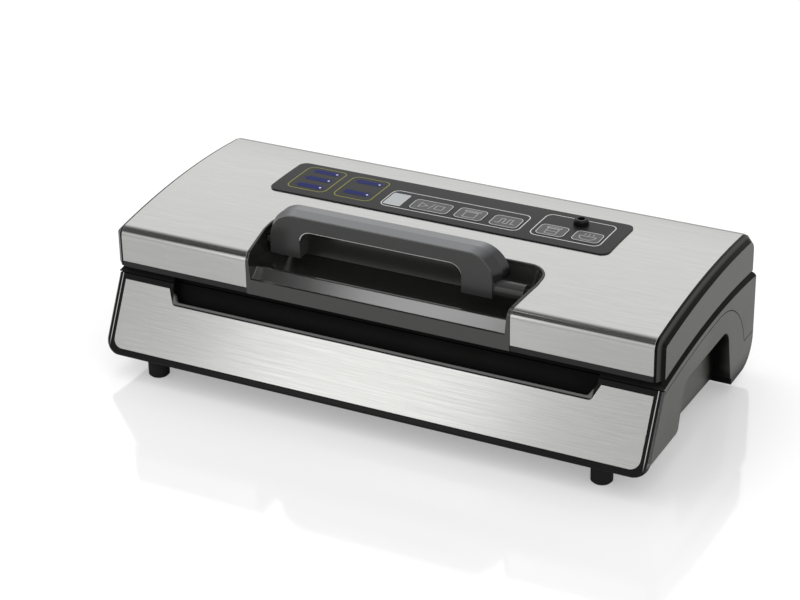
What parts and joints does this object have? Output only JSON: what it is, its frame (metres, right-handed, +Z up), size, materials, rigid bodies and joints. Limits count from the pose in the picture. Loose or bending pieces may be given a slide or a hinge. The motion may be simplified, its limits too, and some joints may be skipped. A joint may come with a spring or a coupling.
{
  "type": "vacuum sealer",
  "caption": "Countertop vacuum sealer with a hinged steel-clad lid, a locking lever handle, a bag mouth in a sloping front, press keys and side grip arches.",
  "frame": {"origin": "on the table, under the middle of the appliance's bounding box", "axes": "+X along the length to the user's right, +Y towards the back, +Z up"},
  "size_m": [0.4, 0.1948, 0.1241],
  "materials": {
    "satin_black": "satin moulded",
    "grey_black": "fine textured",
    "gloss_black": "polished",
    "brushed_steel": "fine brushing along the length",
    "metallic_grey": "metallic satin",
    "foot_rubber": "matte",
    "foam": "closed cell foam",
    "tray": "satin",
    "bakelite": "matte",
    "heater": "rolled",
    "tape": "coated glass cloth",
    "zinc": "zinc plated",
    "silicone": "matte silicone",
    "hose": "soft silicone",
    "board": "solder mask",
    "overlay": "printed film",
    "window": "clear grey",
    "indicator": "deep blue",
    "key": "printed film",
    "copper": "enamelled winding and core"
  },
  "bodies": {
    "base": {"lower_housing": "grey_black", "upper_housing": "grey_black", "front_bezel": "gloss_black", "front_panel": "brushed_steel", "front_feet": "foot_rubber", "rear_feet": "foot_rubber", "lower_gasket": "foam", "drip_tray": "tray", "seal_bar": "bakelite", "heating_strip": "heater", "ptfe_tape": "tape", "latch_catches": "zinc", "hinge_brackets": "zinc", "hinge_pins": "zinc", "cord_gland": "satin_black", "intake_nozzle": "satin_black", "vacuum_hose": "hose", "pump_motor": "zinc", "pump_head": "satin_black", "transformer": "copper", "main_board": "board", "lid_switch": "satin_black", "base_screws": "zinc"},
    "lid": {"steel_cover": "brushed_steel", "right_end_cap": "satin_black", "left_end_cap": "satin_black", "lid_frame": "satin_black", "hinge_leaves": "zinc", "lid_liner": "satin_black", "liner_screws": "zinc", "upper_gasket": "foam", "silicone_strip": "silicone", "handle_recess": "gloss_black", "panel_overlay": "overlay", "display_window": "window", "indicator_lenses": "indicator", "accessory_port": "gloss_black", "control_board": "board", "key_switches": "satin_black"},
    "handle": {"handle_grip": "gloss_black", "handle_cover": "metallic_grey", "handle_shafts": "zinc", "latch_hooks": "zinc"},
    "key_auto_body": {"key_auto": "key"},
    "key_seal_body": {"key_seal": "key"},
    "key_pulse_body": {"key_pulse": "key"},
    "key_canister_body": {"key_canister": "key"},
    "key_marinate_body": {"key_marinate": "key"}
  },
  "joints": [
    {"name": "lid_hinge", "type": "hinge", "parent": "base", "child": "lid", "pos_m": [0, 0.09042, 0.0773], "axis": [-1, 0, 0], "range_deg": [0, 60]},
    {"name": "handle_pivot", "type": "hinge", "parent": "lid", "child": "handle", "pos_m": [0, -0.04258, 0.0985], "axis": [1, 0, 0], "range_deg": [0, 65]},
    {"name": "key_auto_press", "type": "slide", "parent": "lid", "child": "key_auto_body", "axis": [0, 0, -1], "range_m": [0, 0.0005], "stiffness_N_per_m": 200, "springref_m": -0.001},
    {"name": "key_seal_press", "type": "slide", "parent": "lid", "child": "key_seal_body", "axis": [0, 0, -1], "range_m": [0, 0.0005], "stiffness_N_per_m": 200, "springref_m": -0.001},
    {"name": "key_pulse_press", "type": "slide", "parent": "lid", "child": "key_pulse_body", "axis": [0, 0, -1], "range_m": [0, 0.0005], "stiffness_N_per_m": 200, "springref_m": -0.001},
    {"name": "key_canister_press", "type": "slide", "parent": "lid", "child": "key_canister_body", "axis": [0, 0, -1], "range_m": [0, 0.0005], "stiffness_N_per_m": 200, "springref_m": -0.001},
    {"name": "key_marinate_press", "type": "slide", "parent": "lid", "child": "key_marinate_body", "axis": [0, 0, -1], "range_m": [0, 0.0005], "stiffness_N_per_m": 200, "springref_m": -0.001}
  ]
}
